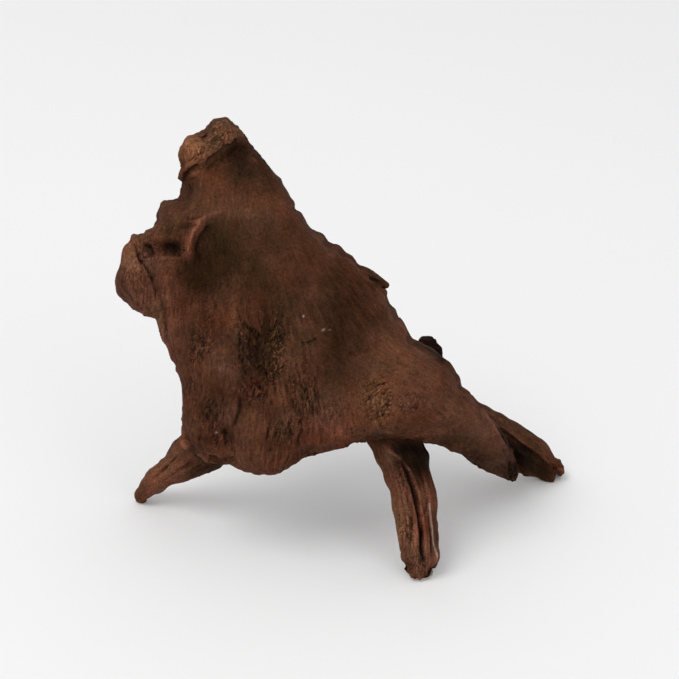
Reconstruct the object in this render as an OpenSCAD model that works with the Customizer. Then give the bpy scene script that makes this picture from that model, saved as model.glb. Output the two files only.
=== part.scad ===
// Driftwood cave ornament for an aquarium.
// A hollow cast trunk leans over a cave and stands on three cast roots.
// Every casting is a separate solid, pinned to its neighbour with a rod dowel.
// X runs to the viewer's right, Y away from the viewer, Z up, in millimetres.

/* [Trunk] */
// Points around each rib of the trunk
rib_points = 64; // [40:8:72]
// Rings between two neighbouring ribs
rib_steps = 2; // [1:1:3]
// Lean of the seam between the shells, in mm of depth for each mm of height
seam_lean = 0.27; // [0.24:0.01:0.3]

/* [Roots] */
// Points around each ring of a root
root_points = 28; // [16:4:32]
// Depth of the lengthwise flutes, as a share of a root's radius
flute_depth = 0.07; // [0:0.01:0.1]

/* [Dowels] */
// Diameter of the rod that pins the castings together
dowel_d = 5; // [4:0.5:5.5]
// Radial room for adhesive around a dowel
dowel_gap = 0.1; // [0.05:0.05:0.2]
// Room for adhesive past each end of a dowel
dowel_end_gap = 0.5; // [0.2:0.1:1]

/* [Foot pads] */
// Diameter of the pad under the centre root
centre_pad_d = 12; // [10:0.5:15]
// Diameter of the pads under the two pointed roots
side_pad_d = 5; // [4:0.5:8]
// Thickness of the pads
pad_t = 1.5; // [1:0.25:2]

/* [Hidden] */
$fn = 48;

// The colours of the cast wood, of its shaded parts, of the rods and of the pads
wood = [0.33, 0.19, 0.14];
wood_dark = [0.24, 0.15, 0.11];
wood_pale = [0.42, 0.26, 0.19];
rod = [0.80, 0.82, 0.78];
pad_grey = [0.62, 0.60, 0.56];

// From the drawing frame to the middle of the object's own box
centre_x = -6.8;
centre_y = 7.2;

// Ribs of the trunk from its peak to the tip of the right arm. Each rib is a flat loop:
// left edge x y z, right edge x y z, bulge to the front, bulge to the back, turn.
ribs = [
    [-60, 20, 217,  -54, 20, 218,   4,  4,  0],
    [-67, 19, 211,  -49, 20, 214,   7,  8,  0],
    [-72, 17, 204,  -44, 18, 207,   9, 10,  0],
    [-75, 15, 195,  -36, 15, 198,  11, 13,  0],
    [-75, 12, 187,  -28, 12, 187,  13, 17,  0],
    [-82, 11, 180,  -22, 10, 178,  15, 20,  0],
    [-88,  9, 174,  -17,  8, 170,  17, 23,  0],
    [-94,  7, 166,  -10,  6, 163,  20, 27,  0],
    [-95,  4, 155,    3,  3, 154,  22, 31,  0],
    [-93,  1, 143,   11,  1, 146,  24, 35,  0],
    [-90, -2, 132,   19, -2, 137,  25, 38,  0],
    [-90, -5, 121,   26, -5, 126,  26, 40,  0],
    [-85, -9, 108,   32, -7, 118,  27, 42,  0],
    [-80, -12, 97,   36, -9, 111,  27, 43,  0],
    [-79, -15, 86,   40, -10, 107, 27, 44,  0],
    [-78, -18, 75,   46, -11, 103, 26, 44,  0],
    [-78, -21, 65,   51, -12, 100, 25, 43,  0],
    [-68, -24, 57,   55, -13, 96,  23, 42,  0],
    [-50, -25, 51,   58, -13, 92,  20, 42,  0],
    [-34, -26, 50,   61, -13, 89,  18, 40,  0],
    [-18, -24, 66,   63, -13, 87,  16, 36,  5],
    [  0, -23, 70.5, 65, -13, 85,  15, 32, 10],
    [ 14, -22, 68,   67, -10, 80,  14, 27, 20],
    [ 34, -19, 64,   71, -5, 73,   13, 21, 28],
    [ 48, -12, 53,   76,  1, 64,   12, 16, 32],
    [ 60, -4,  42,   81,  8, 53,   11, 12, 34],
    [ 72,  5,  29,   86, 13, 42,    9,  9, 34],
    [ 82, 13,  19,   91, 18, 28,    7,  7, 34],
    [ 90, 18,  10,   96, 21, 16,    4,  4, 34]
];

// Hollows (positive depth) and swellings (negative) of the front: x, z, reach in x, reach in z, depth
front_relief = [
    [-54, 205, 10,  6,  3],
    [-67, 186,  8,  7,  3],
    [-76, 176,  8,  4, -3],
    [-60, 152, 15, 22,  9],
    [-44, 132, 12, 16,  4],
    [-80, 158,  7,  4,  7],
    [-84, 145,  7, 18, -3],
    [-72, 128,  8, 16, -3],
    [-30, 165, 12, 14, -3],
    [-10, 138, 16, 14, -2],
    [-12, 112, 12, 18,  3],
    [-45, 100, 16, 22, -3],
    [ 12, 100, 12, 12, -3],
    [-66,  68, 10,  8, -3],
    [-54,  64,  6, 10,  4],
    [-36,  60, 14,  8, -4],
    [ 20,  82, 16,  9, -3],
    [ 45,  84, 16,  7, -3]
];

// Spines of the smaller castings: x, y, z, radius in the section, radius across it
crown_spine = [
    [-74, 10, 190, 3, 4], [-73, 10, 197, 6, 8], [-70, 10, 204, 7, 9.5],
    [-64, 11, 210, 8, 9.5], [-57, 13, 214, 6.5, 8], [-51, 15, 213, 3.5, 5], [-48, 16, 211, 1.5, 2]
];
burl_spine = [
    [-97, 5, 164, 2, 4], [-98, 4, 159, 6, 9], [-98, 2, 151, 9, 13], [-97, 0, 143, 12, 16],
    [-95, -2, 135, 12, 15], [-92, -3, 129, 8, 11], [-90, -4, 124, 3, 5]
];
left_root_spine = [
    [-108, 14, 1, 2, 2], [-103, 13, 7, 5, 5], [-97, 12, 14, 6.5, 6.5], [-87, 9, 24, 9, 9],
    [-76, 5, 35, 11.5, 11], [-64, 0, 48, 13, 12], [-58, -4, 61, 12, 11], [-54, -6, 70, 8, 8]
];
centre_root_spine = [
    [41.5, -50, -2, 8.5, 8], [41, -49, 6, 9, 8.5], [40, -46, 18, 9.8, 9], [38.5, -38, 31, 11, 10],
    [36, -30, 41, 11.5, 10.5], [31, -22, 51, 13, 11], [26, -14, 60, 14.5, 11], [22, -8, 70, 12, 10],
    [20, -4, 78, 7, 7]
];
right_root_spine = [
    [52, 0, 71, 9, 9], [62, 8, 61, 11, 11], [73, 18, 47, 12, 11],
    [84, 26, 34, 12.5, 10], [95, 31, 22.5, 12.5, 9.5],
    [106, 34, 13, 10, 8], [114, 36, 7.5, 8, 7], [119, 38, 5, 5.5, 5.5], [122, 39, 4, 2, 3]
];
right_root_hollow = [
    [80, 8, 36, 4, 4], [90, 14, 24, 7, 7], [100, 19, 14, 7.5, 7.5],
    [110, 23, 6, 6.5, 6.5], [120, 27, -1, 5, 6]
];
stub_spine = [
    [44, 12, 76, 10, 10], [45, 19, 84, 8.5, 8.5], [45, 23, 91, 7, 7], [45, 24, 96, 4, 4.5]
];
flake_spine = [
    [-2, 5, 154, 2, 2], [7, 7, 147.5, 2.5, 3], [15, 7, 142, 2.6, 3.5],
    [21, 6, 138, 2.3, 3.5], [25, 6, 135, 1.2, 2.5]
];

// Inside of the trunk, from below its lower edge to the cave roof
cave_spine = [
    [-22, 2, 24, 24, 15], [-22, 0, 50, 26, 18], [-24, 0, 72, 34, 24], [-26, -2, 92, 40, 28],
    [-31, -1, 112, 40, 28], [-38, 2, 130, 36, 25], [-44, 6, 146, 29, 19],
    [-50, 9, 158, 18, 12], [-54, 10, 164, 4, 3]
];
// The cave mouth in the rear shell
mouth_spine = [
    [-20, 6, 70, 24, 28], [-20, 30, 70, 24, 30], [-20, 60, 68, 26, 34]
];

// The seam between the two shells, and the joint between trunk and right arm
seam_point = [0, -11, 100];
seam_front = [0, -1, seam_lean];
arm_point = [58, -8, 62];
arm_way = [0.55, 0.45, -0.7];

// Each dowel: the point where its two castings meet, the way that it runs, its length
seam_pins = [
    [[-74, -11, 100], [0, 1, -seam_lean], 16],
    [[-74, 8, 170], [0, 1, -seam_lean], 16],
    [[6, 0, 140], [0, 1, -seam_lean], 18],
    [[26, -11, 100], [0, 1, -seam_lean], 20]
];
arm_pins = [
    [[52, -10, 56], arm_way, 20],
    [[64, -6, 68], arm_way, 18]
];
crown_pin = [[-66, 11, 197], [0.2, -0.15, -1], 16];
burl_pin = [[-86, -6, 143], [1, 0, 0], 18];
left_root_pin = [[-62, -3, 59], [2, -4, 13], 18];
centre_root_pin = [[24, -10, 63], [-5, 8, 9], 24];
right_root_pin = [[72, 13, 47], [-3, -16, 2], 16];
stub_pin = [[44.5, 16, 84], [0, -1, -0.25], 14];

// Feet: the middle of each pad on the ground
left_foot = [-106, 14];
centre_foot = [41.3, -49.8];
right_foot = [112, 35];

// Catmull-Rom curve through rows of numbers, at s counted in rows
function between(a, b, c, d, t) =
    (2 * b + (c - a) * t + (2 * a - 5 * b + 4 * c - d) * t * t + (3 * b - 3 * c + d - a) * t * t * t) / 2;
function row_at(rows, s) =
    let (last = len(rows) - 1, i = min(floor(s), last - 1))
    between(rows[max(i - 1, 0)], rows[i], rows[i + 1], rows[min(i + 2, last)], s - i);
function unit(v) = v / norm(v);
function curve_power(v, p) = sign(v) * pow(abs(v), p);

// Depth that the front relief takes away at x, z
function relief(x, z) =
    [for (f = front_relief) f[4] * exp(-pow((x - f[0]) / f[2], 2) - pow((z - f[1]) / f[3], 2))]
    * [for (f = front_relief) 1];

// One rib as a loop of points: its bulge is a rounded oval, and the front half takes the relief
function rib_loop(q) =
    let (
        left = [q[0], q[1], q[2]],
        right = [q[3], q[4], q[5]],
        middle = (left + right) / 2,
        half = (right - left) / 2,
        way = [-sin(q[8]), cos(q[8]), 0]
    )
    [for (k = [0 : rib_points - 1])
        let (
            a = 360 * k / rib_points,
            across = curve_power(cos(a), 0.9),
            deep = curve_power(sin(a), 0.8),
            flat = middle + half * across,
            cut = deep < 0 ? -deep * relief(flat[0], flat[2]) : 0
        )
        flat + way * (deep * (deep < 0 ? q[6] : q[7]) + cut)
    ];

// One ring of a root or a knot, square to its spine, with shallow flutes
function ring_loop(rows, s, flutes) =
    let (
        q = row_at(rows, s),
        ahead = row_at(rows, min(s + 0.1, len(rows) - 1)),
        behind = row_at(rows, max(s - 0.1, 0)),
        way = unit([for (i = [0 : 2]) ahead[i] - behind[i]]),
        side = unit(cross(way, abs(way[1]) > 0.9 ? [0, 0, 1] : [0, 1, 0])),
        up = cross(side, way)
    )
    [for (k = [0 : root_points - 1])
        let (a = 360 * k / root_points, flute = 1 + flute_depth * cos(flutes * a + 40 * s))
        [q[0], q[1], q[2]] + (side * q[3] * cos(a) + up * q[4] * sin(a)) * flute
    ];

// A closed solid through loops that all have the same number of points
module loft(loops) {
    count = len(loops[0]);
    rows = len(loops);
    last = (rows - 1) * count;
    polyhedron(
        points = [for (l = loops, p = l) p],
        faces = concat(
            [[for (k = [0 : count - 1]) count - 1 - k]],
            [for (r = [0 : rows - 2], k = [0 : count - 1], half = [0, 1])
                let (n = (k + 1) % count, low = r * count, high = low + count)
                half == 0 ? [low + k, high + n, high + k] : [low + k, low + n, high + n]],
            [[for (k = [0 : count - 1]) last + k]]
        )
    );
}

// A root, knot or hollow along its spine
module along(rows, flutes = 5) {
    steps = 2 * (len(rows) - 1);
    loft([for (i = [0 : steps]) ring_loop(rows, i / 2, flutes)]);
}

// Everything on the far side of a plane through a point
module beyond(point, way) {
    reach = 400;
    w = unit(way);
    translate(point)
        rotate([0, acos(w[2]), atan2(w[1], w[0])])
            translate([-reach, -reach, 0])
                cube(2 * reach);
}

// Takes the cuts of an organic casting as one closed skin
module one_skin() {
    resize([0, 0, 0]) children();
}

// A rod centred on its joint, or its socket when room is given
module pin(p, gap = 0, end_gap = 0) {
    w = unit(p[1]);
    translate(p[0])
        rotate([0, acos(w[2]), atan2(w[1], w[0])])
            translate([0, 0, -p[2] / 2 - end_gap])
                cylinder(d = dowel_d + 2 * gap, h = p[2] + 2 * end_gap);
}

module sockets(pins) {
    for (p = pins) pin(p, dowel_gap, dowel_end_gap);
}

module placed() {
    translate([centre_x, centre_y, 0]) children();
}

// The whole trunk with its right arm, before it is hollowed and split
module trunk_form() {
    steps = rib_steps * (len(ribs) - 1);
    loft([for (i = [0 : steps]) rib_loop(row_at(ribs, i / rib_steps))]);
}

module above_pads() {
    translate([-300, -300, pad_t]) cube(600);
}

module front_shell() {
    color(wood) placed() difference() {
        one_skin() difference() {
            intersection() {
                trunk_form();
                beyond(seam_point, seam_front);
                beyond(arm_point, -arm_way);
            }
            along(cave_spine);
            along(crown_spine, 7);
            along(burl_spine);
        }
        sockets(concat(seam_pins, [crown_pin, burl_pin]));
    }
}

module rear_shell() {
    color(wood_dark) placed() difference() {
        one_skin() difference() {
            intersection() {
                trunk_form();
                beyond(seam_point, -seam_front);
                beyond(arm_point, -arm_way);
            }
            along(cave_spine);
            along(mouth_spine);
            along(crown_spine, 7);
            along(burl_spine);
        }
        sockets(concat(
            seam_pins, arm_pins,
            [crown_pin, burl_pin, left_root_pin, centre_root_pin, stub_pin]
        ));
    }
}

module right_arm() {
    color(wood) placed() difference() {
        one_skin() intersection() {
            trunk_form();
            beyond(arm_point, arm_way);
        }
        sockets(concat(arm_pins, [right_root_pin]));
    }
}

module crown() {
    color(wood_pale) placed() difference() {
        along(crown_spine, 7);
        sockets([crown_pin]);
    }
}

module left_burl() {
    color(wood_pale) placed() difference() {
        along(burl_spine);
        sockets([burl_pin]);
    }
}

module left_root() {
    color(wood_pale) placed() difference() {
        one_skin() difference() {
            intersection() {
                along(left_root_spine);
                above_pads();
            }
            trunk_form();
        }
        sockets([left_root_pin]);
    }
}

module centre_root() {
    color(wood) placed() difference() {
        one_skin() difference() {
            intersection() {
                along(centre_root_spine, 6);
                above_pads();
            }
            trunk_form();
        }
        sockets([centre_root_pin]);
    }
}

module right_root() {
    color(wood_dark) placed() difference() {
        one_skin() difference() {
            intersection() {
                along(right_root_spine, 4);
                above_pads();
            }
            trunk_form();
            along(right_root_hollow);
        }
        sockets([right_root_pin]);
    }
}

module rear_stub() {
    color(wood_dark) placed() difference() {
        one_skin() difference() {
            along(stub_spine);
            trunk_form();
        }
        sockets([stub_pin]);
    }
}

module bark_flake() {
    color(wood_dark) placed() one_skin() difference() {
        along(flake_spine, 3);
        trunk_form();
    }
}

module rods(pins) {
    color(rod) placed() for (p = pins) pin(p);
}

module foot_pad(at, d) {
    color(pad_grey) placed() translate(at) cylinder(d = d, h = pad_t);
}

front_shell();
rear_shell();
right_arm();
crown();
left_burl();
left_root();
centre_root();
right_root();
rear_stub();
bark_flake();
rods(seam_pins);  // seam_dowels
rods(arm_pins);  // arm_dowels
rods([crown_pin]);  // crown_dowel
rods([burl_pin]);  // burl_dowel
rods([left_root_pin]);  // left_root_dowel
rods([centre_root_pin]);  // centre_root_dowel
rods([right_root_pin]);  // right_root_dowel
rods([stub_pin]);  // stub_dowel
foot_pad(left_foot, side_pad_d);  // left_foot_pad
foot_pad(centre_foot, centre_pad_d);  // centre_foot_pad
foot_pad(right_foot, side_pad_d);  // right_foot_pad
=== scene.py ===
"""Looks of the driftwood cave ornament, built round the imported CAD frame.

The castings are joined, remeshed and carved as one skin, so that grain and paint run over the
joints as they do on the painted casting. The skin is then parted again, casting by casting.
Lengths are in millimetres until a mesh is made, and angles are in degrees.
"""
import math

import bpy
import numpy as np
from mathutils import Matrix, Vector
from mathutils.bvhtree import BVHTree


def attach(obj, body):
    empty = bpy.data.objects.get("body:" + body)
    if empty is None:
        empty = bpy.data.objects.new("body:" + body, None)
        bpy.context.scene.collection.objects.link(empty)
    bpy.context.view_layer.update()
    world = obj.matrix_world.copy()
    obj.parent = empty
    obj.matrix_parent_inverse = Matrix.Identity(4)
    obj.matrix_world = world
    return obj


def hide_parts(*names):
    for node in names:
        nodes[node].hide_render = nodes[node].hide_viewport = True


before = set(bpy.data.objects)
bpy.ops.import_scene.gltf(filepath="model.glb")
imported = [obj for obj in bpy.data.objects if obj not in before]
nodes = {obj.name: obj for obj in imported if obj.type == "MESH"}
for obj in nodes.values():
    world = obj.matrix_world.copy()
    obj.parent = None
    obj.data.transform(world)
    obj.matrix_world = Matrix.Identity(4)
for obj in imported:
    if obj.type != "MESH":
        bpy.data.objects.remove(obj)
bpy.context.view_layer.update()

MM = 0.001

# ---------------------------------------------------------------- the view that the face is drawn in
AIM = np.array([-6.8, 7.2, 108.0])
ELEVATION = 30
DISTANCE = 900.0
LENS = 95.4
SENSOR = 36.0

FORWARD = np.array([0, math.cos(math.radians(ELEVATION)), -math.sin(math.radians(ELEVATION))])
ACROSS = np.array([1.0, 0, 0])
UPWARD = np.cross(ACROSS, FORWARD)
EYE = AIM - FORWARD * DISTANCE

# ---------------------------------------------------------------- the castings and their slots
SLOTS = {
    "front_shell": "cast_wood", "rear_shell": "cast_wood_dark", "right_arm": "cast_wood",
    "crown": "cast_wood_pale", "left_burl": "cast_wood_pale", "left_root": "cast_wood_pale",
    "centre_root": "cast_wood", "right_root": "cast_wood_dark", "rear_stub": "cast_wood_dark",
    "bark_flake": "cast_wood_dark",
}
CASTINGS = list(SLOTS)
DOWELS = [name for name in nodes if name.endswith(("_dowel", "_dowels"))]
PADS = [name for name in nodes if name.endswith("_pad")]

# The three slants of the fine fibres, in the plane that the face is seen in, from upright
FIBRE_TURNS = [0.0, math.radians(-50), math.radians(50)]

VOXEL = 0.64
PAD_TOP = 1.5
# The outer roots' tips, further out than this, come down past the pads' tops almost to the ground
TIP_OUT = 70
TIP_GROUND = 0.2
# The size of the blocks between the cracks of the hidden side: across, away, up
CRACK_BLOCK = np.array([3.4, 3.4, 11])
# The fine fibres' size in metres: across, across, along
FIBRE_SIZE = (0.0009, 0.0009, 0.0055)
# The fine wrinkles' size in metres in the same way
WRINKLE_SIZE = (0.0019, 0.0019, 0.005)

# The lights: place and diameter in metres, power in watts
LIGHTS = {
    "key_light": ((-1.1, -0.7, 2.3), 1.4, 19.6),
    "fill_light": ((1.6, -1.8, 1.2), 1.4, 6.1),
}
SKY = 0.71

# ---------------------------------------------------------------- which way the grain runs
# Each line runs with the grain, from the crown down a limb to its tip: across, away, up
GRAIN_LINES = [
    ((-72, 10, 212), (-80, 8, 185), (-92, 5, 160), (-98, 0, 130), (-90, -5, 105), (-84, -8, 80),
     (-80, -5, 58)),
    ((-64, 5, 212), (-66, 0, 180), (-70, -15, 150), (-70, -25, 110), (-70, -22, 70), (-64, -22, 50)),
    ((-58, 8, 212), (-50, -2, 175), (-42, -20, 130), (-35, -30, 95), (-32, -28, 52)),
    ((-52, 12, 210), (-38, 2, 170), (-15, -15, 130), (2, -22, 100), (8, -22, 68)),
    ((-45, 20, 205), (-20, 15, 160), (10, 5, 120), (35, 0, 95), (58, -2, 68), (72, 5, 48),
     (90, 20, 12)),
    ((-55, 30, 205), (-55, 38, 160), (-50, 42, 110), (-55, 40, 55)),
    ((-45, 30, 195), (-20, 38, 150), (10, 38, 115), (38, 28, 90)),
    ((38, 28, 90), (55, 15, 61), (66, 25, 47), (88, 38, 22), (99, 41, 13), (116, 47, 3)),
    ((-61, 1, 70), (-71, 7, 48), (-83, 12, 35), (-94, 16, 24), (-104, 19, 14), (-115, 21, 1)),
    ((13, 3, 78), (19, -7, 60), (24, -15, 51), (29, -23, 41), (32, -31, 31), (34, -42, 10),
     (34, -43, -2)),
    ((37, 19, 76), (38, 26, 84), (38, 31, 96)),
    ((-9, 12, 154), (0, 14, 147), (8, 14, 142), (18, 13, 135)),
]

# ---------------------------------------------------------------- what is carved into the face
# Places on the face are in mm across and up from the aim. Heights above 0 stand proud.
# Swellings and hollows: across, up, reach across, reach up, height, and a turn if there is one
LUMPS = [
    (-58, 45, 15, 17, -1.5), (-72, 30, 9, 12, -1.0), (-45, 28, 14, 14, -1.5), (-80, 44, 9, 5, 1.6),
    (-85, 45.5, 6.5, 3, -2.8), (-56, 92, 8, 5, 1.6, 25), (-69, 84, 6, 5, 2.2, 40),
    (-73, 90, 5, 6, 1.0, 40), (-98.5, 44, 4.5, 5, -1.6), (-98.5, 44.5, 1.8, 1.8, 1.5),
    (-90, 56, 9, 6, 1.6, 20), (-83, 66, 9, 5, 1.2), (-101, 30, 8, 13, 1.2, 10), (-62, 74, 9, 14, 2.2),
    (-47, 83, 4, 11, -1.8), (-75, 76, 4, 5, -2.5), (-60, 104, 8, 6, 1.6, 30), (-73, 96, 6, 5, 1.8),
    (-30, 62, 16, 12, 1.8, -40), (-14, 34, 14, 18, 1.8), (-26, 20, 8, 16, -1.2), (-42, 0, 9, 17, -2.6),
    (-30, -2, 8, 16, 1.2), (4, -2, 9, 16, -2.2), (-60, -29, 6, 9, -2.6), (-72, 4, 8, 14, 1.2),
    (-86, 0, 5, 16, 1.0, -10), (-79, 22, 6, 12, -1.5), (-38, -61, 9, 5, 2.4),
    (-58, -49, 4, 7, -3.0, 10), (-69, -51, 8, 5, 2.2, -30), (-46, -46, 8, 9, 1.6),
    (-18, -46, 10, 7, 0.8), (2, -36, 10, 10, 1.4, 20), (20, -33, 8, 10, 1.0), (34, -26, 8, 8, 1.2),
    (44, -12, 8, 8, 1.2), (62, -44, 9, 7, 1.4, -30), (78, -49, 4, 9, 1.0, 30), (30, 10, 8, 14, 1.0, 30),
    (-94, -70, 8, 6, 0.6, 40), (8, -22, 7, 7, -0.8),
]
# Ridges and grooves: height, width, the line's places
LINES = [
    (-3.2, 1.6, ((-79, 79), (-76, 82), (-73, 85.5), (-70, 88))),
    (-0.7, 0.8, ((-79, 62), (-74, 60.3), (-70, 61))),
    (-0.8, 0.9, ((-80, 57), (-76.5, 57.3), (-73, 58.5))),
    (0.9, 1.3, ((-70, 60), (-64, 62.5), (-57, 65))),
    (1.0, 2.0, ((-92, 49.5), (-84, 51), (-79, 51))),
    (0.9, 1.4, ((-91, 41), (-84, 40.8), (-77, 42))),
    (-1.5, 0.9, ((-102.5, 47.5), (-101.5, 44), (-99.5, 40), (-97, 38.5))),
    (-1.3, 0.9, ((-98, 48.5), (-95.5, 46), (-94.5, 42))),
    (-0.9, 0.8, ((-99, 41), (-96.5, 36), (-93.5, 30), (-92, 24), (-92.5, 17))),
    (-0.4, 0.6, ((-107, 35), (-108, 27), (-104, 20), (-98, 15))),
    (-0.35, 0.6, ((-104, 40), (-104.5, 30), (-101, 22), (-96, 16))),
    (-1.6, 1.0, ((-87.5, 18), (-88, 10), (-86.5, 2))),
    (-1.0, 1.2, ((-78, 10), (-77, 0), (-76, -12))),
    (-0.94, 0.9, ((-50.5, -27), (-50, -35), (-52, -41), (-55, -46))),
    (-1.1, 1.1, ((-59, -46), (-58, -50), (-56, -55))),
    (-0.99, 1.0, ((-62.5, -46), (-61.5, -50), (-60.5, -54))),
    (-0.77, 0.9, ((-68.5, -44), (-69, -51))),
    (-0.77, 0.9, ((-65, -47), (-64, -53))),
    (-0.94, 1.0, ((-35, -44), (-36.5, -50), (-34.5, -58))),
    (-0.55, 0.8, ((-31, -44), (-32, -52))),
    (-0.72, 0.8, ((-20, -39), (-19, -45), (-20.5, -51))),
    (-0.66, 0.8, ((-16.5, -38), (-15.5, -45), (-17, -50))),
    (-0.55, 0.8, ((-25, -41), (-24, -49))),
    (-0.72, 0.9, ((-33.5, -20), (-32, -26), (-34, -31))),
    (-0.72, 0.8, ((-16, -21), (-17, -27), (-15, -33))),
    (-1.0, 0.8, ((-20, -2), (-15, -1.5), (-11, 0.5))),
    (0.4, 2.2, ((-24, -55.5), (-12, -52.5), (4, -51), (20, -45))),
    (-0.7, 0.55, ((18, -24.5), (20, -22.5), (26, -21))),
    (-0.6, 0.55, ((13, -31), (17, -27), (22, -27), (27, -29))),
    (-0.8, 0.55, ((20, -34.5), (23, -32.5), (26.5, -33))),
    (-0.7, 0.55, ((14, -41), (19, -39), (23, -37), (28.5, -38.5))),
    (-0.5, 0.5, ((12, -36), (15, -35), (17, -31))),
    (-0.5, 0.5, ((33, -30), (37, -32), (40, -36))),
    (-0.5, 0.7, ((4, -7), (7, -7.5), (10, -10))),
    (0.9, 1.2, ((71, -35), (75, -42), (79, -48), (82, -53))),
    (-1.3, 0.8, ((73, -35), (78, -43), (82, -49), (86, -55))),
    (-1.2, 0.8, ((96, -48), (102, -54), (107, -61))),
    (-1.1, 0.8, ((103, -58), (107, -62), (109, -66))),
    (-2.0, 0.9, ((85, -62), (86, -66), (85, -71))),
    (-1.6, 0.9, ((88.5, -60), (88, -65), (89, -70))),
    (-2.6, 0.75, ((31.5, -61.5), (34.3, -66), (36.3, -73), (38.2, -80), (39.8, -88), (40.6, -97),
     (41.2, -106), (42.5, -113))),
    (-0.7, 0.8, ((37, -60), (41, -70), (43.5, -79), (44.5, -86))),
    (-0.8, 0.6, ((44.8, -86), (45.7, -96), (46.4, -108), (47.3, -114))),
    (0.8, 0.6, ((45.2, -81), (46.2, -90), (47, -100), (48, -111))),
    (-0.72, 0.7, ((26, -62), (29.5, -73), (32, -85), (33.5, -97), (36, -110))),
    (-0.83, 0.8, ((30, -66), (32.5, -76), (35, -86), (36, -95))),
    (-0.66, 0.7, ((34, -88), (36.5, -98), (38, -108))),
    (1.2, 1.0, ((21, -51), (25.5, -55.5), (30, -59.5))),
    (-1.0, 0.8, ((-78, -55), (-86, -63), (-95, -72))),
    (-0.9, 0.8, ((-72, -60), (-82, -66), (-92, -74))),
    (-1.4, 1.0, ((14, 31), (18, 29.5), (23, 27.6))),
    (-1.2, 0.8, ((17, 27), (20, 26), (23, 25.8))),
]
# Steps: height and width on the left of the line as it runs, the same on its right, its places
STEPS = [
    (1.2, 3.0, -1.4, 1.6, ((-69, 88), (-66, 91.5), (-64, 93), (-61, 95), (-58.5, 98), (-55, 98.5),
     (-51, 101))),
    (2.2, 2.4, 2.2, 1.9, ((-76, 41.5), (-76, 46), (-74.8, 50.5), (-72.8, 54.5), (-70.5, 58),
     (-68, 61))),
    (0.0, 2.5, -2.2, 3.5, ((-72.5, 34), (-72.5, 42), (-72, 47), (-70, 52), (-67.5, 56), (-64, 59))),
    (1.8, 2.4, -2.2, 1.4, ((-59, -60), (-66, -58.8), (-71, -56.5), (-75, -52), (-78, -46))),
    (1.2, 2.0, -3.0, 3.0, ((80, -43), (87, -49), (94, -54), (101, -58.5), (106, -64))),
    (-3.2, 3.0, 1.2, 1.8, ((82, -50), (86, -56), (89, -62), (90, -68))),
    (1.2, 1.0, 0.6, 1.2, ((33, -61.5), (37, -68), (39.5, -77), (41.5, -88), (42.4, -100),
     (43.5, -114))),
]
# Creases between castings that are filled and rounded: across, up, reach across, reach up, any turn
SOFTENED = [
    (-94, 28, 5, 15, 10), (-97, 46, 6, 7), (-72, 86, 7, 4.5, 45), (-58, 94, 10, 5, 28), (-77, 79, 3, 4),
    (-82, 47, 10, 5), (-72, 34, 4, 14), (-68, -55, 6, 6), (18, 26, 5, 4),
]
# Edges rounded off after the broad carving, in the same terms
ROUNDED = [
    (-14, -58, 16, 6, 15), (6, -52, 10, 5, 25), (29, 10, 6, 9), (51, -5, 3, 5), (22, 26, 4, 5),
    (-36, -66, 12, 4), (-98, -78, 6, 6), (60, -22, 6, 6), (-76, 76, 5, 8),
]
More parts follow.
